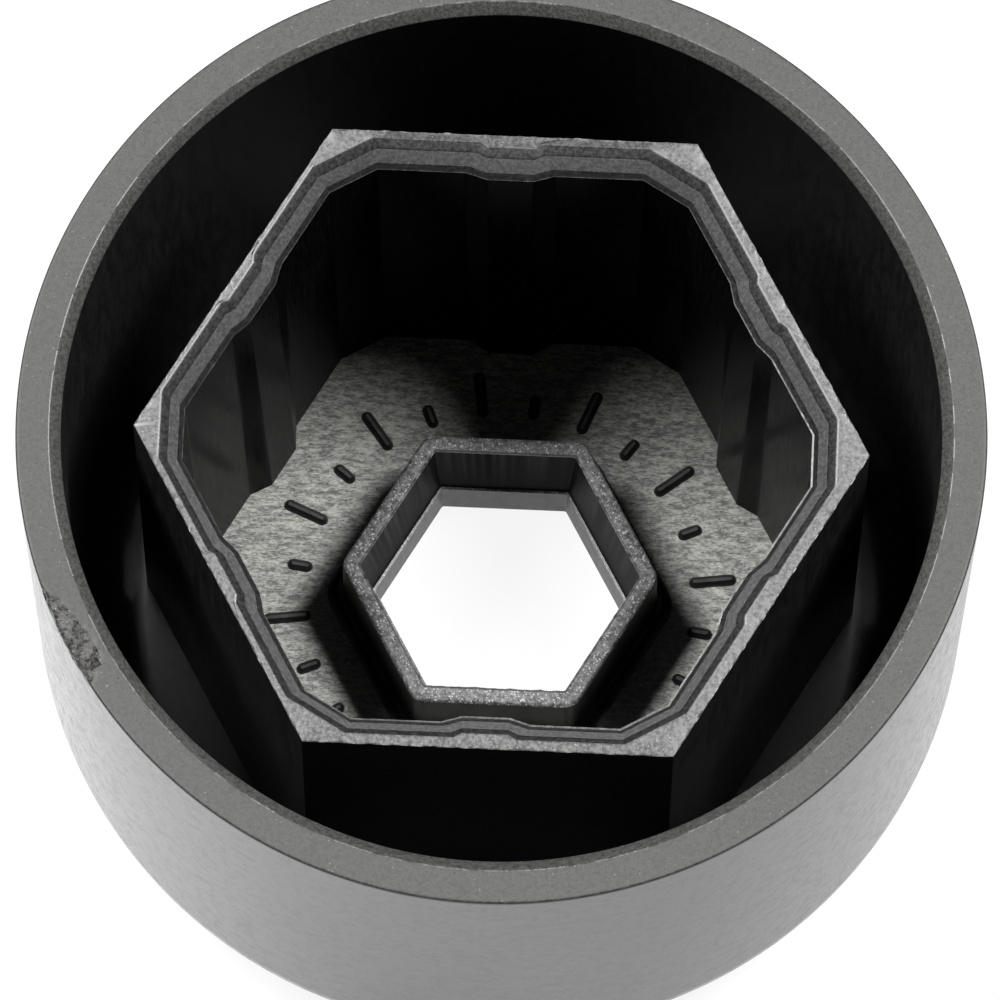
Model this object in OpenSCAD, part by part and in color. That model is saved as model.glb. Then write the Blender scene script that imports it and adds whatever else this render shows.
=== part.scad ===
// Wheel nut cover cap, moulded in one piece: a round cup with a hexagon socket standing
// inside it and a hexagon boss on the socket's floor. It stands on its closed end, mouth up.

/* [Cup] */
// Outside diameter of the cup
cup_d = 29; // [28:0.1:34]
// Height from the closed face to the rim
cup_h = 20.6; // [17:0.1:28]
// Wall thickness of the cup below the rim's bevel
cup_wall = 1.35; // [1:0.05:1.8]
// Thickness of the closed end
end_t = 1.5; // [1.2:0.1:2.4]
// Radius that rounds the wall into the closed end
end_round = 4.2; // [2.6:0.1:5]
// Radius that rounds the inside of the wall into the cup's floor
floor_round = 1.8; // [1.4:0.1:2]
// Width of the bevel inside the rim
bevel_w = 0.35; // [0.2:0.05:0.6]
// Depth of the bevel inside the rim
bevel_h = 0.3; // [0.2:0.05:0.8]
// Taper of the moulded walls, in degrees
draft = 0.33; // [0.1:0.01:0.6]

/* [Socket] */
// Size across the flats of the socket, below its lead-in
socket_af = 17.2; // [15:0.1:18.5]
// Wall thickness of the tube round the socket
tube_wall = 0.95; // [0.9:0.05:1.4]
// How far the tube's end stands below the rim
tube_drop = 1; // [0:0.1:3]
// How far the socket's corners are cut back
corner_cut = 0.47; // [0.2:0.01:0.8]

/* [Lead-in] */
// Width of the flat land on the tube's end
land_w = 0.31; // [0.2:0.01:0.35]
// Width of the lip, the first slope inside the land
lip_w = 0.2; // [0.1:0.01:0.25]
// Depth of the lip
lip_h = 0.2; // [0.1:0.01:0.4]
// Depth of the long middle slope
lead_h = 0.42; // [0.3:0.01:2]
// Width of the step, the short slope that ends the lead-in
step_w = 0.15; // [0.1:0.01:0.25]
// Depth of the step
step_h = 0.2; // [0.1:0.01:0.8]
// How far the corners are cut back at the tube's end
mouth_corner_cut = 0.6; // [0.5:0.01:1.1]

/* [Grip ribs] */
// Width of a rib's crest
crest_w = 1.4; // [0.8:0.1:2]
// Width of each sloping flank of a rib in the socket
flank_w = 0.65; // [0.4:0.05:0.8]
// Width of each flank on the tube's end
end_flank_w = 0.22; // [0.1:0.01:0.4]
// Height of a rib on the tube's end
rib_end_h = 0.14; // [0.05:0.01:0.3]
// Height of a rib at the top of the socket
rib_h = 0.19; // [0.1:0.01:0.4]
// Height of a rib at the socket's floor
rib_floor_h = 0.4; // [0.2:0.01:0.6]

/* [Boss] */
// Height of the boss above the socket's floor
boss_h = 3.4; // [2:0.1:6]
// Wall thickness of the boss at its top
boss_wall = 0.53; // [0.4:0.01:1]
// Radius of the boss's upright corners
boss_corner_r = 0.5; // [0.4:0.05:1]
// Radius of the round along the boss's top edge
boss_edge_r = 0.14; // [0.1:0.01:0.3]
// Radius of the fillet at the boss's foot
boss_fillet_r = 0.5; // [0.2:0.05:0.8]

/* [Tool hole] */
// Size across the flats of the throat through the closed end
throat_af = 6.8; // [5:0.1:7]
// Length of the throat, from the closed face
throat_h = 2; // [1.8:0.1:3]
// Size across the flats of the hole at the boss's top
hole_mouth_af = 7.6; // [7.4:0.05:9]
// Width of the ledge where the tapered hole meets the throat
ledge_w = 0.08; // [0.04:0.01:0.2]

/* [Gate scar] */
// Place of the scar round the rim, in degrees from the X axis
scar_angle = 208; // [0:1:359]
// Length of the scar along the rim's outer edge
scar_len = 3.2; // [1:0.1:5]
// How far the scar reaches in from the outer edge
scar_w = 0.7; // [0.3:0.05:0.9]
// Depth of the scar
scar_depth = 0.12; // [0.05:0.01:0.3]

/* [Hidden] */
$fn = 128;
// Overlap where one form sinks into another
sink = 0.4;
// Number of steps in each small round of the boss
round_steps = 4;

cup_r = cup_d / 2;
rim_z = cup_h;
floor_z = end_t;
tube_z = rim_z - tube_drop;
lip_z = tube_z - lip_h;
step_z = lip_z - lead_h;
socket_z = step_z - step_h;
boss_z = floor_z + boss_h;
taper = tan(draft);
bore_rim_r = cup_r - cup_wall;
bore_floor_r = bore_rim_r - taper * (rim_z - floor_z);
tube_af = socket_af + 2 * tube_wall;
mouth_af = tube_af - 2 * land_w;
lip_af = mouth_af - 2 * lip_w;
step_af = socket_af + 2 * step_w;
socket_floor_af = socket_af - 2 * taper * (socket_z - floor_z);
boss_af = hole_mouth_af + 2 * boss_wall;

// Distance from the centre to a hexagon's corner, from its size across the flats
function corner_reach(across) = across / 2 / cos(30);

// A value between two others
function mix(from, to, share) = from + (to - from) * share;

// How far a height has come from the top of the socket to the tube's end, from 0 to 1
function lead_share(z) = min(max((z - socket_z) / (tube_z - socket_z), 0), 1);

// A point turned about the centre
function turned(p, angle) = [
    p[0] * cos(angle) - p[1] * sin(angle),
    p[0] * sin(angle) + p[1] * cos(angle)
];

// A hexagon with corners on the X axis
function hexagon(across) = [
    for (k = [0:5]) turned([corner_reach(across), 0], 60 * k)
];

// A hexagon with rounded corners
function rounded_hexagon(across, r) =
    let (centre = corner_reach(across) - r / cos(30))
    [
        for (k = [0:5])
            for (j = [0:round_steps])
                let (a = -30 + 60 * j / round_steps)
                turned([centre + r * cos(a), r * sin(a)], 60 * k)
    ];

// The socket's outline: a hexagon with its corners cut and a low rib at the middle of each flat
function socket_outline(across, cut, rib, flank) =
    let (
        corner = corner_reach(across) - cut,
        half_cut = cut * tan(60),
        flat = across / 2,
        crest = flat - rib,
        foot_w = crest_w + 2 * flank
    )
    [
        for (k = [0:5])
            each [
                turned([corner, -half_cut], 60 * k),
                turned([corner, half_cut], 60 * k),
                turned([flat, -foot_w / 2], 60 * k + 30),
                turned([crest, -crest_w / 2], 60 * k + 30),
                turned([crest, crest_w / 2], 60 * k + 30),
                turned([flat, foot_w / 2], 60 * k + 30)
            ]
    ];

// A solid through a stack of outlines that have the same number of points, lowest first
module loft(outlines, heights) {
    n = len(outlines[0]);
    last = len(outlines) - 1;
    points = [
        for (k = [0:last])
            for (p = outlines[k]) [p[0], p[1], heights[k]]
    ];
    bottom = [for (i = [0:n - 1]) i];
    top = [for (i = [n - 1:-1:0]) last * n + i];
    sides = [
        for (k = [0:last - 1])
            for (i = [0:n - 1])
                let (next = (i + 1) % n)
                [k * n + i, (k + 1) * n + i, (k + 1) * n + next, k * n + next]
    ];
    polyhedron(points = points, faces = concat([bottom, top], sides), convexity = 6);
}

// Half of the cup's outside, from the axis outwards
module outer_profile() {
    square([cup_r - end_round, rim_z]);
    translate([0, end_round]) square([cup_r, rim_z - end_round]);
    intersection() {
        translate([cup_r - end_round, end_round]) circle(end_round);
        square([cup_r, rim_z]);
    }
}

// Half of the space inside the cup, with the draft of its wall and the bevel inside the rim
module inner_profile() {
    translate([0, floor_z]) square([bore_floor_r - floor_round, floor_round]);
    intersection() {
        translate([bore_floor_r - floor_round, floor_z + floor_round]) circle(floor_round);
        translate([0, floor_z]) square([bore_floor_r, floor_round]);
    }
    polygon([
        [0, floor_z + floor_round],
        [bore_floor_r, floor_z + floor_round],
        [bore_rim_r, rim_z - bevel_h],
        [bore_rim_r + bevel_w, rim_z],
        [bore_rim_r + bevel_w, rim_z + sink],
        [0, rim_z + sink]
    ]);
}

module cup() {
    rotate_extrude() difference() {
        outer_profile();
        inner_profile();
    }
}

// The tube round the socket, wider at its foot
module tube() {
    foot_z = floor_z - sink;
    loft(
        [hexagon(tube_af + 2 * taper * (tube_z - foot_z)), hexagon(tube_af)],
        [foot_z, tube_z]
    );
}

// The space inside the socket: a drafted hexagon with grip ribs, and a lead-in of three slopes
module socket() {
    heights = [floor_z, socket_z, step_z, lip_z, tube_z, rim_z + sink];
    sizes = [socket_floor_af, socket_af, step_af, lip_af, mouth_af, mouth_af];
    outlines = [
        for (i = [0:len(heights) - 1])
            let (
                share = lead_share(heights[i]),
                rib = i == 0 ? rib_floor_h : mix(rib_h, rib_end_h, share)
            )
            socket_outline(
                sizes[i],
                mix(corner_cut, mouth_corner_cut, share),
                rib,
                mix(flank_w, end_flank_w, share)
            )
    ];
    loft(outlines, heights);
}

// The boss, with a fillet at its foot and a round along its top edge
module boss() {
    angles = [for (j = [0:round_steps]) 90 * j / round_steps];
    waist_z = floor_z + boss_fillet_r;
    shoulder_z = boss_z - boss_edge_r;
    waist_af = boss_af + 2 * taper * (shoulder_z - waist_z);
    fillet = [
        for (a = angles)
            let (out = boss_fillet_r * (1 - sin(a)))
            rounded_hexagon(waist_af + 2 * out, boss_corner_r + out)
    ];
    edge = [
        for (a = angles)
            let (in = boss_edge_r * (1 - cos(a)))
            rounded_hexagon(boss_af - 2 * in, boss_corner_r - in)
    ];
    fillet_z = [for (a = angles) floor_z + boss_fillet_r * (1 - cos(a))];
    edge_z = [for (a = angles) shoulder_z + boss_edge_r * sin(a)];
    loft(concat([fillet[0]], fillet, edge), concat([floor_z - sink], fillet_z, edge_z));
}

// The hole through the boss and the closed end: a plain throat, a ledge and a taper
module tool_hole() {
    rise = sink / boss_h;
    low_af = throat_af + 2 * ledge_w;
    beyond_af = hole_mouth_af + (hole_mouth_af - low_af) * rise;
    translate([0, 0, -sink]) cylinder(r = corner_reach(throat_af), h = throat_h + 2 * sink, $fn = 6);
    loft([hexagon(low_af), hexagon(hole_mouth_af), hexagon(beyond_af)], [throat_h, boss_z, boss_z + sink]);
}

// The rough mark left on the rim's outer edge where the moulding was cut from its runner
module gate_scar() {
    reach = scar_w + scar_len * scar_len / 8 / cup_r;
    scar_r = (scar_len * scar_len / 4 + reach * reach) / 2 / reach;
    rotate([0, 0, scar_angle])
        translate([cup_r - scar_w + scar_r, 0, rim_z - scar_depth])
            cylinder(r = scar_r, h = scar_depth + sink);
}

module nut_cap() {
    color([0.13, 0.13, 0.13]) difference() {
        union() {
            difference() {
                union() {
                    cup();
                    tube();
                }
                socket();
            }
            boss();
        }
        tool_hole();
        gate_scar();
    }
}

nut_cap();
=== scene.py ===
import math

import bmesh
import bpy
from mathutils import Matrix, Vector, noise


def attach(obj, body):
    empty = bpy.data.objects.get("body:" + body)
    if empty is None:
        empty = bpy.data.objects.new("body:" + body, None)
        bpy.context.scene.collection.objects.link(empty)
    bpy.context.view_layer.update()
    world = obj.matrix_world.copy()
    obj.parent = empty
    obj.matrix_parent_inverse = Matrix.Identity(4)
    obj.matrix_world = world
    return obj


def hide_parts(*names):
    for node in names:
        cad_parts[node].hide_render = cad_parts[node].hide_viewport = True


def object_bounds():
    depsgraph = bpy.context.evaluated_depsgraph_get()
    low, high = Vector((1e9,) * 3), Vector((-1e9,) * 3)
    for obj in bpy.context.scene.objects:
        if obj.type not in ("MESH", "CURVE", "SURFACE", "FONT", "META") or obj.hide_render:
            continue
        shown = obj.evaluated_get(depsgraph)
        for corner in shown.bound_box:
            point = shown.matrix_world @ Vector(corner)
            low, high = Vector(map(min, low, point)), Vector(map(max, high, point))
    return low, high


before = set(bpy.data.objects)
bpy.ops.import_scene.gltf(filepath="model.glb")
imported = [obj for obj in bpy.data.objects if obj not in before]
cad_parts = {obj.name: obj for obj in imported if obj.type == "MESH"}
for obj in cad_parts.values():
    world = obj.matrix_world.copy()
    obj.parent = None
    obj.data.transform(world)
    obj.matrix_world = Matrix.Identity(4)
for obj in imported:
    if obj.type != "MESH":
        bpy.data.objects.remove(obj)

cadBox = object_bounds()
mm = 0.001
capRadius = (cadBox[1].x - cadBox[0].x) / 2
rimHeight = cadBox[1].z


# camera: long lens from high above, a touch off the picture's middle
cameraView = {
    "elevation": 74.18,
    "turn": 1.88,               # degrees round Z from the -Y side
    "roll": -0.6,
    "distance": 310.3 * mm,
    "rimRight": 0.045 * mm,     # the rim's centre, right of and above the picture's middle
    "rimUp": 2.066 * mm,
    "lens": 374.6,
    "sensor": 36,
}


def addCamera(view):
    turn = Matrix.Rotation(math.radians(view["turn"]), 3, "Z")
    tilt, roll = math.radians(view["elevation"]), math.radians(view["roll"])
    right = turn @ Vector((1, 0, 0))
    back = turn @ Vector((0, -math.cos(tilt), math.sin(tilt)))
    up = back.cross(right)
    rolledRight = right * math.cos(roll) - up * math.sin(roll)
    rolledUp = right * math.sin(roll) + up * math.cos(roll)
    data = bpy.data.cameras.new("camera")
    data.lens, data.sensor_width = view["lens"], view["sensor"]
    data.clip_start, data.clip_end = 0.01, 10
    camera = bpy.data.objects.new("camera", data)
    bpy.context.scene.collection.objects.link(camera)
    axes = Matrix((rolledRight, rolledUp, back)).transposed().to_4x4()
    rimCentre = Vector((0, 0, rimHeight))
    place = rimCentre - rolledRight * view["rimRight"] - rolledUp * view["rimUp"] + back * view["distance"]
    camera.matrix_world = Matrix.Translation(place) @ axes
    bpy.context.scene.camera = camera


addCamera(cameraView)
print("camera set")


# shader graph: sums on wires add Math nodes, node() adds any other
class Wire:
    def __init__(self, graph, socket):
        self.graph, self.socket = graph, socket

    def maths(self, operation, *parts):
        return self.graph.node("ShaderNodeMath", {"operation": operation}, dict(enumerate(parts)))

    def __add__(self, other):
        return self.maths("ADD", self, other)

    def __radd__(self, other):
        return self.maths("ADD", other, self)

    def __sub__(self, other):
        return self.maths("SUBTRACT", self, other)

    def __rsub__(self, other):
        return self.maths("SUBTRACT", other, self)

    def __mul__(self, other):
        return self.maths("MULTIPLY", self, other)

    def __rmul__(self, other):
        return self.maths("MULTIPLY", other, self)

    def between(self, low, high):
        # 0 below low, 1 above high, smooth from one to the other
        values = {0: self, 1: low, 2: high}
        return self.graph.node("ShaderNodeMapRange", {"interpolation_type": "SMOOTHSTEP"}, values)


class Graph:
    def __init__(self, tree):
        self.tree = tree
        tree.nodes.clear()

    def node(self, kind, settings=None, values=None, output=0):
        made = self.tree.nodes.new(kind)
        for name, setting in (settings or {}).items():
            setattr(made, name, setting)
        for name, value in (values or {}).items():
            if isinstance(value, Wire):
                self.tree.links.new(value.socket, made.inputs[name])
            else:
                made.inputs[name].default_value = value
        return Wire(self, made.outputs[output] if len(made.outputs) else None)

    def millimetres(self, stretch=(1, 1, 1)):
        place = self.node("ShaderNodeTexCoord", output="Object")
        scale = [1000 / part for part in stretch]
        return self.node("ShaderNodeVectorMath", {"operation": "MULTIPLY"}, {0: place, 1: scale})

    def grain(self, place, size, detail, rough=0.5):
        values = {"Vector": place, "Scale": 1 / size, "Detail": detail, "Roughness": rough}
        return self.node("ShaderNodeTexNoise", {}, values)

    def cells(self, place, size, output):
        return self.node("ShaderNodeTexVoronoi", {}, {"Vector": place, "Scale": 1 / size}, output)

    def blend(self, amount, first, second):
        # a colour is a wire, or its red, green and blue
        first, second = (part if isinstance(part, Wire) else (*part, 1) for part in (first, second))
        values = {"Factor": amount, 6: first, 7: second}
        return self.node("ShaderNodeMix", {"data_type": "RGBA"}, values, output=2)


# plastic: one finish for each region of the moulding, sizes in millimetres
plain = {
    "stretch": (1, 1, 1), "grain": 0.3, "fine": 0.07, "relief": 0.002, "fineRelief": 0.0005,
    "coat": 0.0, "coatRoughness": 0.3, "speckAndGlintSize": 0.035, "specksAndGlints": 0.0, "speckAndGlintColour": (0.18, 0.18, 0.175),
    "pits": 0.0, "pitSize": 0.12, "pitDark": (0.004, 0.004, 0.004), "pitStrength": 0.8, "ior": 1.5,
}
mottling = {"coarse": 0.6, "fine": 0.4, "low": 0.36, "high": 0.66, "pitLevel": 0.72, "pitEdge": 0.04}
finishes = {
    "outerWall": plain | {
        "dark": (0.018, 0.018, 0.020), "light": (0.036, 0.036, 0.041),
        "stretch": (1.1, 1.1, 1.5), "grain": 0.35, "fine": 0.09, "relief": 0.0045, "fineRelief": 0.0012,
        "roughness": (0.09, 0.22), "ior": 1.42, "pits": 0.05,
    },
    "rimFace": plain | {
        "dark": (0.011, 0.011, 0.010), "light": (0.039, 0.039, 0.036),
        "grain": 0.12, "fine": 0.05, "relief": 0.0035, "fineRelief": 0.002, "roughness": (0.48, 0.60),
        "specksAndGlints": 0.0012, "speckAndGlintColour": (0.11, 0.11, 0.105), "pits": 0.03,
    },
    "rimBevel": plain | {
        "dark": (0.020, 0.020, 0.019), "light": (0.054, 0.054, 0.051), "grain": 0.12, "fine": 0.05,
        "relief": 0.003, "fineRelief": 0.0015, "roughness": (0.46, 0.58), "pits": 0.02,
    },
    "cupInside": plain | {
        "dark": (0.010, 0.010, 0.010), "light": (0.020, 0.020, 0.020), "stretch": (1, 1, 6),
        "relief": 0.0006, "roughness": (0.28, 0.34), "ior": 1.45,
    },
    # the land's finish; its lighter grey also serves as the painted highlights of the rim line and the seam
    # ridge
    "landAndPaintedHighlights": plain | {
        "dark": (0.045, 0.045, 0.045), "light": (0.115, 0.115, 0.113),
        "grain": 0.12, "fine": 0.045, "relief": 0.003, "fineRelief": 0.002,
        "roughness": (0.34, 0.50), "specksAndGlints": 0.008,
    },
    "leadSlope": plain | {
        "dark": (0.052, 0.052, 0.053), "light": (0.104, 0.104, 0.106),
        "grain": 0.12, "fine": 0.05, "relief": 0.0015, "fineRelief": 0.001,
        "roughness": (0.38, 0.50), "specksAndGlints": 0.002,
    },
    # the lip and step of the lead-in: a darker copy of the slope's finish, painted shade on the steep bands
    "leadStepPaintedShade": plain | {
        "dark": (0.008, 0.008, 0.008), "light": (0.028, 0.028, 0.028), "grain": 0.12, "fine": 0.05,
        "relief": 0.0015, "roughness": (0.34, 0.46),
    },
    # the socket walls: a grey far darker than the plastic's, with a low ior, as painted shade in the deep
    # socket
    "socketWallPaintedShade": plain | {
        "dark": (0.002, 0.002, 0.002), "light": (0.006, 0.006, 0.006), "stretch": (1, 1, 20),
        "grain": 0.10, "fine": 0.05, "relief": 0.0012, "fineRelief": 0.0006,
        "roughness": (0.20, 0.26), "ior": 1.032,
    },
    # the socket floor: a pale warm grey far above the black plastic's, painted sheen standing in for the
    # lamps' reflection
    "socketFloorPaintedSheen": plain | {
        "dark": (0.050, 0.050, 0.047), "light": (0.350, 0.350, 0.312), "stretch": (0.36, 0.12, 1),
        "grain": 1.0, "fine": 0.35, "relief": 0.040, "fineRelief": 0.016, "roughness": (0.34, 0.46),
        "coat": 1.0, "coatRoughness": 0.42, "pits": 0.05, "pitSize": 0.1,
    },
    "tickFace": plain | {
        "dark": (0.006, 0.006, 0.006), "light": (0.014, 0.014, 0.014),
        "relief": 0.001, "roughness": (0.34, 0.44),
    },
    # the boss face: a grey raised well above the rim's, painted light on the boss top, with painted glints
    "bossFacePaintedLight": plain | {
        "dark": (0.022, 0.022, 0.022), "light": (0.140, 0.140, 0.140),
        "grain": 0.13, "fine": 0.05, "relief": 0.006, "fineRelief": 0.003, "roughness": (0.36, 0.50),
        "specksAndGlints": 0.055, "speckAndGlintSize": 0.045, "speckAndGlintColour": (0.30, 0.30, 0.30),
    },
    # the hole walls: a near-black grey with a low ior, painted shade against the glowing floor they reflect
    "holeWallPaintedShade": plain | {
        "dark": (0.006, 0.006, 0.006), "light": (0.009, 0.009, 0.009), "stretch": (3, 3, 1),
        "relief": 0.0001, "fineRelief": 0.00005, "roughness": (0.30, 0.32), "ior": 1.05,
    },
    "throatWall": plain | {
        "dark": (0.020, 0.020, 0.020), "light": (0.045, 0.045, 0.045), "stretch": (1, 1, 2),
        "relief": 0.0006, "roughness": (0.34, 0.42), "ior": 1.4,
    },
    "scarFace": plain | {
        "dark": (0.010, 0.010, 0.010), "light": (0.062, 0.060, 0.055),
        "grain": 0.14, "fine": 0.06, "relief": 0.030, "fineRelief": 0.010, "roughness": (0.45, 0.65),
        "specksAndGlints": 0.003, "speckAndGlintColour": (0.22, 0.17, 0.11), "pits": 0.12, "pitSize": 0.12,
    },
}
regions = list(finishes)


def plasticMaterial(name, finish):
    material = bpy.data.materials.new(name)
    material.use_nodes = True
    graph = Graph(material.node_tree)
    even = graph.millimetres()
    place = graph.millimetres(finish["stretch"])
    coarse = graph.grain(place, finish["grain"], 3, 0.6)
    fine = graph.grain(place, finish["fine"], 2)
    mottle = coarse * mottling["coarse"] + fine * mottling["fine"]
    mottle = mottle.between(mottling["low"], mottling["high"])
    colour = graph.blend(mottle, finish["dark"], finish["light"])
    if finish["pits"]:
        low = mottling["pitLevel"] - finish["pits"]
        pit = graph.grain(even, finish["pitSize"], 1).between(low, low + mottling["pitEdge"])
        colour = graph.blend(pit * finish["pitStrength"], colour, finish["pitDark"])
    if finish["specksAndGlints"]:
        # bright specks, a small share of the cells picked by the red of their colours; the dense ones on the
        # boss face are painted glints
        shades = graph.cells(even, finish["speckAndGlintSize"], "Color")
        pick = graph.node("ShaderNodeSeparateColor", {}, {"Color": shades})
        speckAndGlint = pick.between(1 - finish["specksAndGlints"] * 2, 1 - finish["specksAndGlints"])
        colour = graph.blend(speckAndGlint, colour, finish["speckAndGlintColour"])
    low, high = finish["roughness"]
    soft = graph.node("ShaderNodeBump", {}, {"Height": coarse, "Distance": finish["relief"] * mm})
    bump = graph.node("ShaderNodeBump", {}, {
        "Height": fine, "Distance": finish["fineRelief"] * mm, "Normal": soft,
    })
    shader = graph.node("ShaderNodeBsdfPrincipled", {}, {
        "Base Color": colour,
        "Roughness": mottle * (high - low) + low,
        "Normal": bump,
        "IOR": finish["ior"],
        "Coat Weight": finish["coat"],
        "Coat Roughness": finish["coatRoughness"],
    })
    graph.node("ShaderNodeOutputMaterial", {}, {"Surface": shader})
    return material


# outlines round the axis, in millimetres until the mesh is scaled at the end;
# each has the same number of points, so that any two of them can be joined
flatSteps = (12, 12, 46, 6, 28, 6, 46)  # the corner cut's two halves, flat, flank, crest, flank, flat
cornerSteps = 6                         # round one corner of a rounded hexagon
around = 6 * sum(flatSteps)
margin = 0.02                           # for thin rings and for telling faces apart


def cornerReach(across):
    return across / 2 / math.cos(math.radians(30))


def turned(x, y, angle):
    c, s = math.cos(math.radians(angle)), math.sin(math.radians(angle))
    return Vector((x * c - y * s, x * s + y * c, 0))


def spread(points, counts):
    # splits each side of a closed outline into equal steps
    out = []
    for i, point in enumerate(points):
        following = points[(i + 1) % len(points)]
        count = counts[i % len(counts)]
        out += [point.lerp(following, j / count) for j in range(count)]
    return out


def hexOutline(across, cut, rib, flank, crest, sharp=False):
    # a hexagon with its corners cut (or kept sharp) and a low rib at the middle of each flat
    corner = cornerReach(across)
    points = []
    for k in range(6):
        points += [
            turned(corner - cut, -cut * math.sqrt(3), 60 * k),
            turned(corner if sharp else corner - cut, 0, 60 * k),
            turned(corner - cut, cut * math.sqrt(3), 60 * k),
            turned(across / 2, -crest / 2 - flank, 60 * k + 30),
            turned(across / 2 - rib, -crest / 2, 60 * k + 30),
            turned(across / 2 - rib, crest / 2, 60 * k + 30),
            turned(across / 2, crest / 2 + flank, 60 * k + 30),
        ]
    return spread(points, flatSteps)


def roundHexOutline(across, radius):
    # a hexagon with rounded corners
    centre = cornerReach(across) - radius / math.cos(math.radians(30))
    points = []
    for k in range(6):
        for j in range(cornerSteps + 1):
            a = math.radians(-30 + 60 * j / cornerSteps)
            points.append(turned(centre + radius * math.cos(a), radius * math.sin(a), 60 * k))
    return spread(points, (1,) * cornerSteps + (around // 6 - cornerSteps,))


def frayed(outline, height, amount, size):
    # points pushed out and up by a fine uneven amount, from two grains of noise
    out = []
    for p in outline:
        across = noise.noise(Vector((p.x, p.y, height)) / size)
        along = noise.noise(Vector((p.y, p.x, height + 5)) / (size * 0.6))
        push = amount * (across + 0.5 * along)
        out.append(Vector((p.x, p.y, 0)) * (1 + push / max(p.length, 1)) + Vector((0, 0, height + abs(push))))
    return out


def level(outline, height):
    return [Vector((p.x, p.y, height)) for p in outline]


# rings of edges: a first ring of vertices, then one extrusion for each level
def firstRing(bm, points):
    ring = [bm.verts.new(p) for p in points]
    for i, vertex in enumerate(ring):
        bm.edges.new((ring[i - 1], vertex))
    return ring


def ringEdges(bm, ring):
    return [bm.edges.get((ring[i - 1], vertex)) for i, vertex in enumerate(ring)]


def extrudeRing(bm, ring, points, slot):
    before = set(bm.faces)
    made = bmesh.ops.extrude_edge_only(bm, edges=ringEdges(bm, ring))["geom"]
    fresh = {g for g in made if isinstance(g, bmesh.types.BMVert)}
    following = []
    for vertex in ring:
        following += [e.other_vert(vertex) for e in vertex.link_edges if e.other_vert(vertex) in fresh]
    for vertex, p in zip(following, points):
        vertex.co = p
    for face in set(bm.faces) - before:
        face.material_index = regions.index(slot)
    return following


def angleOf(point):
    return math.atan2(point.y, point.x)


def join(bm, ring, target, slot):
    # one more extrusion, welded to the vertices of a ring that is there already
    steps = (angleOf(b.co) - angleOf(a.co) for a, b in zip(target, target[1:]))
    if sum((step + math.pi) % math.tau - math.pi for step in steps) < 0:
        target = target[::-1]
    first = angleOf(ring[0].co)
    start = min(range(len(target)), key=lambda i: abs(math.sin((angleOf(target[i].co) - first) / 2)))
    target = target[start:] + target[:start]
    last = extrudeRing(bm, ring, [v.co.copy() for v in target], slot)
    bmesh.ops.weld_verts(bm, targetmap=dict(zip(last, target)))


def loopAt(edges, height):
    # the vertices of one open loop, in order
    edges = [e for e in edges if abs(e.verts[0].co.z - height) < margin]
    linked = {}
    for e in edges:
        for v in e.verts:
            linked.setdefault(v, []).append(e.other_vert(v))
    ring = [edges[0].verts[0]]
    while len(ring) < len(edges):
        ring.append(next(v for v in linked[ring[-1]] if len(ring) < 2 or v is not ring[-2]))
    return ring


cup = {
    "wall": 1.35, "end": 1.5, "endRound": 4.2, "floorRound": 1.8, "bevelWide": 0.35, "bevelDeep": 0.3,
    "draft": 0.33, "edge": 0.07,
    "faceStop": 0.5,            # how far the closed face's ring stops before the round
    "wallRows": (0.4, 0.22),    # rings on the wall below the rim, for the scar
    "rimRows": 7, "rimStep": 0.12,
    "roundSegments": 10, "edgeSegments": 3,
    "line": 0.025, "paintedHighlightBreaks": -0.12, "paintedHighlightGrain": 0.6,   # the broken bright line between rim and bevel, a painted highlight in the land's lighter finish
}
scar = {
    "angle": 208.5, "long": 3.3, "wide": 0.75, "deep": 0.14, "down": 0.25, "ragged": 0.1, "raggedGrain": 0.25,
    "soft": 0.12, "wobble": 0.12, "wobbleGrain": 0.35, "outer": 0.06,
    "tip": 0.15, "tipSlope": 1.6, "endSlope": 6,
    "rough": 0.7, "lumps": 0.8, "lumpGrain": 0.2, "grit": 0.7, "gritGrain": 0.11,
}


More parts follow.
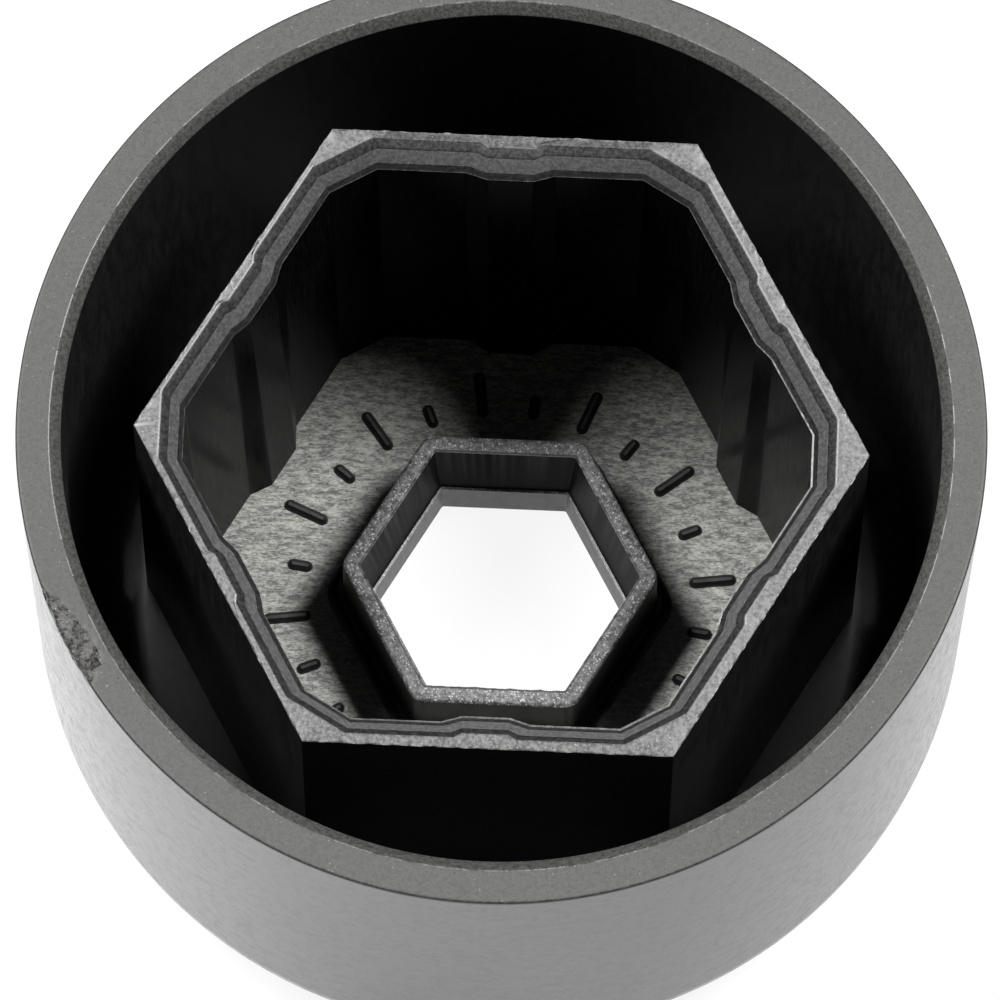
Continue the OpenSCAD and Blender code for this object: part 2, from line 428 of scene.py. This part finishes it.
def addCup(bm, sizes):
    radius, height = capRadius / mm, rimHeight / mm
    taper = math.tan(math.radians(sizes["draft"]))
    bore = radius - sizes["wall"]
    boreFloor = bore - taper * (height - sizes["end"])
    # the profile from the closed face round to the cup's floor: corner radius, then reach and height
    wallRows = [(0, radius, height - down) for down in sizes["wallRows"]]
    rimStart = radius - 2 * sizes["edge"]
    rimRows = [(0, rimStart - sizes["rimStep"] * j, height) for j in range(sizes["rimRows"])]
    corners = [
        (0, radius - sizes["endRound"] - sizes["faceStop"], 0),
        (sizes["endRound"], radius, 0),
        *wallRows,
        (sizes["edge"], radius, height),
        *rimRows,
        (sizes["edge"], bore + sizes["bevelWide"], height),
        (sizes["edge"], bore, height - sizes["bevelDeep"]),
        (sizes["floorRound"], boreFloor, sizes["end"]),
        (0, boreFloor - sizes["floorRound"] - margin, sizes["end"]),
    ]
    verts = [bm.verts.new((x, 0, z)) for _, x, z in corners]
    for a, b in zip(verts, verts[1:]):
        bm.edges.new((a, b))
    for (cornerRadius, _, _), vertex in zip(corners, verts):
        if cornerRadius:
            opening = (vertex.link_edges[0].other_vert(vertex).co - vertex.co).angle(
                vertex.link_edges[1].other_vert(vertex).co - vertex.co)
            segments = sizes["roundSegments" if cornerRadius > 1 else "edgeSegments"]
            bmesh.ops.bevel(
                bm, geom=[vertex], affect="VERTICES", offset=cornerRadius / math.tan(opening / 2),
                segments=segments, profile=0.5, material=-1)
    profile = list(bm.edges) + list(bm.verts)
    bmesh.ops.spin(
        bm, geom=profile, cent=(0, 0, 0), axis=(0, 0, 1), angle=math.tau, steps=around, use_merge=True)
    bmesh.ops.remove_doubles(bm, verts=bm.verts, dist=0.0001)
    for face in bm.faces:
        face.material_index = regions.index(cupRegion(face.calc_center_median(), sizes, radius, height))
    cutScar(bm, radius, height)
    openEdges = [e for e in bm.edges if e.is_boundary]
    return loopAt(openEdges, 0), loopAt(openEdges, sizes["end"])


def cupRegion(middle, sizes, radius, height):
    # the finish at the middle of one of the cup's faces
    reach = math.hypot(middle.x, middle.y)
    bore = radius - sizes["wall"]
    line = bore + sizes["bevelWide"]
    if middle.z > height - sizes["bevelDeep"] - margin and bore - margin / 2 < reach < radius - margin / 20:
        # painted highlight: a thin band at the rim/bevel edge, broken by noise, takes the land's lighter
        # finish
        bright = noise.noise(middle / sizes["paintedHighlightGrain"]) > sizes["paintedHighlightBreaks"]
        if bright and abs(reach - line) < sizes["line"]:
            return "landAndPaintedHighlights"
        if scarDepth(middle.x, middle.y, radius) > 0.1:
            return "scarFace"
        return "rimBevel" if reach < line else "rimFace"
    return "cupInside" if reach < bore + margin and middle.z > sizes["end"] - margin else "outerWall"


def scarDepth(x, y, radius):
    # 1 in the middle of the gate scar, 0 outside it; it narrows towards its upper end
    turn = (math.degrees(math.atan2(y, x)) - scar["angle"] + 180) % 360 - 180
    along = math.radians(turn) * radius / scar["long"] + 0.5
    if not 0 < along < 1:
        return 0
    inward = radius - math.hypot(x, y)
    wobble = scar["wobble"] * noise.noise(Vector((x, y, 3)) / scar["wobbleGrain"])
    share = min(1, scar["endSlope"] * (1 - along), scar["tip"] + scar["tipSlope"] * along)
    return min(max((scar["wide"] * share + wobble - inward) / scar["soft"], 0), 1)


def cutScar(bm, radius, height):
    for vertex in bm.verts:
        place = vertex.co.copy()
        share = scarDepth(place.x, place.y, radius)
        if share and place.z > height - scar["down"]:
            lumps = scar["lumps"] * noise.noise(place / scar["lumpGrain"])
            grit = scar["grit"] * noise.noise(place / scar["gritGrain"])
            vertex.co.z -= scar["deep"] * share * (scar["rough"] + lumps + grit)
            if place.to_2d().length > radius - scar["outer"]:
                vertex.co.xy *= 1 - scar["ragged"] * abs(noise.noise(place / scar["raggedGrain"])) / radius


tube = {
    "socket": 17.2, "wall": 0.95, "drop": 1.0, "cut": 0.47, "mouthCut": 0.6,
    "land": 0.25, "lipWide": 0.25, "lipDeep": 0.2, "slopeDeep": 0.42, "stepWide": 0.15, "stepDeep": 0.2,
    "crest": 1.4, "flank": 0.65, "endFlank": 0.22, "ribEnd": 0.14, "ribTop": 0.19, "ribFloor": 0.4,
    "shift": 0.1, "rise": 0.06,     # the socket's mouth sits this far to -X and +Y of the tube's middle
    "sag": 0.1, "sagLong": 4.6, "sagWide": 0.6, "sagFade": 0.4,     # the land is lower along the +Y flat
    "edge": 0.06, "edgeSegments": 3,
    "flash": 0.045, "flashWide": 0.06, "flashDeep": 0.06,
    "flashRings": ((0, 0.02, 0.25), (0.025, 0, 0.16)),      # in from the side, down from the end, grain
    "seam": 0.012, "seamWide": 0.05, "seamDeep": 0.07, "seamGrain": 0.3, "seamLean": 0.2, "floorRing": 0.05,
}


def addTube(bm, sizes, cupSizes):
    taper = math.tan(math.radians(cupSizes["draft"]))
    end = rimHeight / mm - sizes["drop"]
    floor = cupSizes["end"]
    socket = sizes["socket"]
    outer = socket + 2 * sizes["wall"]
    mouth = outer - 2 * sizes["land"]
    lip = end - sizes["lipDeep"]
    step = lip - sizes["slopeDeep"]
    top = step - sizes["stepDeep"]

    def outside(across, height):
        outline = hexOutline(across, sizes["mouthCut"], 0, sizes["flank"], sizes["crest"], sharp=True)
        return level(outline, height)

    def inside(across, height):
        share = min(max((height - top) / (end - top), 0), 1)
        cut = sizes["cut"] + (sizes["mouthCut"] - sizes["cut"]) * share
        rib = sizes["ribTop"] + (sizes["ribEnd"] - sizes["ribTop"]) * share
        flank = sizes["flank"] + (sizes["endFlank"] - sizes["flank"]) * share
        if height == floor:
            rib = sizes["ribFloor"]
        drift = sizes["shift"] * (height - floor) / (end - floor)
        outline = hexOutline(across, cut, rib, flank, sizes["crest"])
        points = [Vector((p.x - drift, p.y, height)) for p in outline]
        if height == end:
            for p in points:
                p.y += sizes["rise"]
                near = min(max(p.y - mouth / 2 + sizes["sagWide"], 0) / sizes["sagFade"], 1)
                p.z -= sizes["sag"] * near * min(max(sizes["sagLong"] - abs(p.x), 0), 1)
        return points

    foot = firstRing(bm, outside(outer + 2 * taper * (end - floor), floor))
    ring = extrudeRing(bm, foot, outside(outer, end - sizes["flashDeep"]), "cupInside")
    for inset, down, grain in sizes["flashRings"]:
        points = frayed(outside(outer - 2 * inset, end - down), end - down, sizes["flash"], grain)
        ring = extrudeRing(bm, ring, points, "landAndPaintedHighlights")
    ring = extrudeRing(bm, ring, outside(outer - 2 * sizes["flashWide"], end), "landAndPaintedHighlights")
    edges = []
    for across, height, slot in (
        (mouth, end, "landAndPaintedHighlights"),
        (mouth - 2 * sizes["lipWide"], lip, "leadStepPaintedShade"),
        (socket + 2 * sizes["stepWide"], step, "leadSlope"),
        (socket, top, "leadStepPaintedShade"),
    ):
        ring = extrudeRing(bm, ring, inside(across, height), slot)
        edges.append(ring)
    # the parting line inside the lead-in stands out most on the side away from the shift; its ridge takes the
    # land's lighter finish as a painted highlight
    seamTop = top - margin
    seam = frayed(inside(socket - 2 * sizes["seam"], seamTop), seamTop, sizes["seam"], sizes["seamGrain"])
    for p in seam:
        lean = max(0, (p.x - p.y) / p.to_2d().length / math.sqrt(2) + sizes["seamLean"])
        p.xy *= 1 - sizes["seamWide"] * min(lean, 1) / p.to_2d().length
    ring = extrudeRing(bm, ring, seam, "landAndPaintedHighlights")
    ring = extrudeRing(bm, ring, inside(socket, top - sizes["seamDeep"]), "socketWallPaintedShade")
    across = socket - 2 * taper * (top - floor)
    ring = extrudeRing(bm, ring, inside(across, floor), "socketWallPaintedShade")
    ring = extrudeRing(bm, ring, inside(across - 2 * sizes["floorRing"], floor), "socketFloorPaintedSheen")
    return foot, edges[:3], ring


boss = {
    "height": 3.4, "wall": 0.53, "cornerRound": 0.5, "edgeRound": 0.14, "foot": 0.5,
    "mouth": 7.6, "throat": 6.8, "throatLong": 2.0, "ledge": 0.08, "holeCorner": 0.1, "steps": 4,
    "burr": 0.02, "burrGrain": 0.2, "burrDown": 0.01,
    "lineWide": 0.065, "lineDeep": 0.08,        # the dark line round the hole's mouth
    "footRing": 0.05, "faceRing": 0.1,
}


def addBoss(bm, sizes, cupSizes):
    taper = math.tan(math.radians(cupSizes["draft"]))
    floor = cupSizes["end"]
    top = floor + sizes["height"]
    outer = sizes["mouth"] + 2 * sizes["wall"]
    shoulder = top - sizes["edgeRound"]
    waist = outer + 2 * taper * (shoulder - floor - sizes["foot"])
    steps = [math.radians(90 * j / sizes["steps"]) for j in range(sizes["steps"] + 1)]
    hole = sizes["holeCorner"]
    across = waist + 2 * sizes["foot"] + 2 * sizes["footRing"]
    widest = roundHexOutline(across, sizes["cornerRound"] + sizes["foot"])
    foot = ring = firstRing(bm, level(widest, floor))
    for a in steps:
        out = sizes["foot"] * (1 - math.sin(a))
        outline = roundHexOutline(waist + 2 * out, sizes["cornerRound"] + out)
        points = level(outline, floor + sizes["foot"] * (1 - math.cos(a)))
        ring = extrudeRing(bm, ring, points, "cupInside" if a else "socketFloorPaintedSheen")
    for a in steps:
        inset = sizes["edgeRound"] * (1 - math.cos(a))
        outline = roundHexOutline(outer - 2 * inset, sizes["cornerRound"] - inset)
        slot = "bossFacePaintedLight" if a else "cupInside"
        ring = extrudeRing(bm, ring, level(outline, shoulder + sizes["edgeRound"] * math.sin(a)), slot)
    line = roundHexOutline(sizes["mouth"] + 2 * sizes["lineWide"], hole)
    ring = extrudeRing(bm, ring, level(line, top), "bossFacePaintedLight")
    burr = roundHexOutline(sizes["mouth"], hole)
    burr = frayed(burr, top - sizes["burrDown"], sizes["burr"], sizes["burrGrain"])
    ring = extrudeRing(bm, ring, burr, "tickFace")
    for across, height, slot in (
        (sizes["mouth"], top - sizes["lineDeep"], "tickFace"),
        (sizes["throat"] + 2 * sizes["ledge"], sizes["throatLong"], "holeWallPaintedShade"),
        (sizes["throat"], sizes["throatLong"] - margin, "bossFacePaintedLight"),
        (sizes["throat"], 0, "throatWall"),
        (sizes["throat"] + 2 * sizes["faceRing"], 0, "outerWall"),
    ):
        ring = extrudeRing(bm, ring, level(roundHexOutline(across, hole), height), slot)
    return foot, ring


ticks = {
    "count": 24, "inner": 6.0, "long": 7.5, "short": 6.8, "wide": 0.36, "endSteps": 8,
    "levels": ((0, -0.1), (0, 0.03), (0.05, 0.13), (0.13, 0.2)),        # inset and height over the floor
}


def tickOutline(sizes, outerEnd, turn, inset):
    # a narrow bar with round ends, pointing away from the axis
    half = sizes["wide"] / 2
    outline = []
    for x, start in ((outerEnd - half, -90), (sizes["inner"] + half, 90)):
        for j in range(sizes["endSteps"] + 1):
            a = math.radians(start + 180 * j / sizes["endSteps"])
            outline.append(turned(x + (half - inset) * math.cos(a), (half - inset) * math.sin(a), turn))
    return outline


def addTicks(bm, sizes, floor):
    # evenly spaced raised marks on the socket's floor, every other one short
    for k in range(sizes["count"]):
        turn = 360 * (k + 0.5) / sizes["count"]
        outerEnd = sizes["short"] if k % 2 else sizes["long"]
        rings = [(tickOutline(sizes, outerEnd, turn, inset), floor + up) for inset, up in sizes["levels"]]
        bottom = ring = firstRing(bm, level(*rings[0]))
        for outline, height in rings[1:]:
            ring = extrudeRing(bm, ring, level(outline, height), "tickFace")
        for end in (bottom, ring):
            for face in bmesh.ops.edgeloop_fill(bm, edges=ringEdges(bm, end))["faces"]:
                face.material_index = regions.index("tickFace")


shading = {"sharpAngle": 34, "weight": 80}


def addCap():
    bm = bmesh.new()
    faceRim, floorRim = addCup(bm, cup)
    tubeFoot, tubeEdges, tubeFloor = addTube(bm, tube, cup)
    bossFoot, throatEnd = addBoss(bm, boss, cup)
    join(bm, tubeFoot, floorRim, "cupInside")
    join(bm, tubeFloor, bossFoot, "socketFloorPaintedSheen")
    join(bm, throatEnd, faceRim, "outerWall")
    addTicks(bm, ticks, cup["end"])
    bmesh.ops.recalc_face_normals(bm, faces=bm.faces)
    sharp = [edge for ring in tubeEdges for edge in ringEdges(bm, ring)]
    bmesh.ops.bevel(
        bm, geom=sharp, affect="EDGES", offset=tube["edge"],
        segments=tube["edgeSegments"], profile=0.5, material=-1)
    print("open edges", sum(1 for e in bm.edges if not e.is_manifold), "faces", len(bm.faces))
    bmesh.ops.scale(bm, vec=(mm, mm, mm), verts=bm.verts)
    mesh = bpy.data.meshes.new("nutCap")
    bm.to_mesh(mesh)
    bm.free()
    for region in regions:
        mesh.materials.append(plasticMaterial(region, finishes[region]))
    mesh.shade_smooth()
    mesh.set_sharp_from_angle(angle=math.radians(shading["sharpAngle"]))
    piece = bpy.data.objects.new("capMoulding", mesh)
    bpy.context.scene.collection.objects.link(piece)
    weighted = piece.modifiers.new("weighted normals", "WEIGHTED_NORMAL")
    weighted.keep_sharp = True
    weighted.weight = shading["weight"]
    return piece


piece = addCap()
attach(piece, "root")
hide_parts("nut_cap")
print("cap made")


# floor, world and lamps
stage = {
    "floorSize": 4.0, "floorDown": 0.02 * mm, "floorColour": 0.12, "floorGlow": 0.9, "world": 0.07,
    "mirrorLeft": 1.0, "mirrorRight": 0.74,     # the floor's painted glow in reflections, brighter on the left
    "mirrorReach": 14,                          # millimetres from the axis to the brightest left part
}
# tilt from straight up and turn round Z from +X in degrees, the rest in metres and watts
lamps = {
    "right": {"tilt": 27.5, "turn": 21, "distance": 0.6, "width": 0.14, "height": 0.12, "watts": 5.0},
    "left": {"tilt": 29, "turn": 157, "distance": 0.6, "width": 0.2, "height": 0.12, "watts": 5.2},
}


def floorGlow(graph, sizes):
    # white to the camera; in reflections a painted glow, a little brighter on the left
    seen = graph.node("ShaderNodeLightPath", output="Is Camera Ray")
    through = graph.node("ShaderNodeLightPath", output="Is Transmission Ray")
    mirrored = graph.node("ShaderNodeLightPath", output="Is Glossy Ray")
    across = graph.node("ShaderNodeSeparateXYZ", {}, {"Vector": graph.millimetres()})
    right = across.between(-sizes["mirrorReach"], 0)
    shine = sizes["mirrorLeft"] - right * (sizes["mirrorLeft"] - sizes["mirrorRight"])
    return (seen + through) * sizes["floorGlow"] + mirrored * shine


def addFloor(sizes):
    bm = bmesh.new()
    bmesh.ops.create_grid(bm, x_segments=1, y_segments=1, size=sizes["floorSize"] / 2)
    bmesh.ops.translate(bm, vec=(0, 0, -sizes["floorDown"]), verts=bm.verts)
    mesh = bpy.data.meshes.new("floor")
    bm.to_mesh(mesh)
    bm.free()
    material = bpy.data.materials.new("floorPaper")
    material.use_nodes = True
    graph = Graph(material.node_tree)
    grey = sizes["floorColour"]
    paper = graph.node("ShaderNodeBsdfDiffuse", {}, {"Color": (grey, grey, grey, 1)})
    glow = graph.node("ShaderNodeEmission", {}, {"Strength": floorGlow(graph, sizes)})
    both = graph.node("ShaderNodeAddShader", {}, {0: paper, 1: glow})
    graph.node("ShaderNodeOutputMaterial", {}, {"Surface": both})
    mesh.materials.append(material)
    floor = bpy.data.objects.new("floor", mesh)
    bpy.context.scene.collection.objects.link(floor)


def lightWorld(sizes):
    world = bpy.data.worlds.new("studio")
    world.use_nodes = True
    bpy.context.scene.world = world
    graph = Graph(world.node_tree)
    seen = graph.node("ShaderNodeLightPath", output="Is Camera Ray")
    strength = seen * (1 - sizes["world"]) + sizes["world"]
    background = graph.node("ShaderNodeBackground", {}, {"Strength": strength})
    graph.node("ShaderNodeOutputWorld", {}, {"Surface": background})


def addLamp(name, tilt, turn, distance, width, height, watts):
    data = bpy.data.lights.new(name, "AREA")
    data.shape, data.size, data.size_y, data.energy = "RECTANGLE", width, height, watts
    lamp = bpy.data.objects.new(name, data)
    away, side = Matrix.Rotation(math.radians(tilt), 3, "Y"), Matrix.Rotation(math.radians(turn), 3, "Z")
    lamp.location = side @ away @ Vector((0, 0, distance))
    lamp.rotation_euler = (-lamp.location).to_track_quat("-Z", "Y").to_euler()
    bpy.context.scene.collection.objects.link(lamp)


addFloor(stage)
lightWorld(stage)
for name, settings in lamps.items():
    addLamp(name, **settings)
bpy.context.scene.view_settings.view_transform = "Standard"
print("lights set")
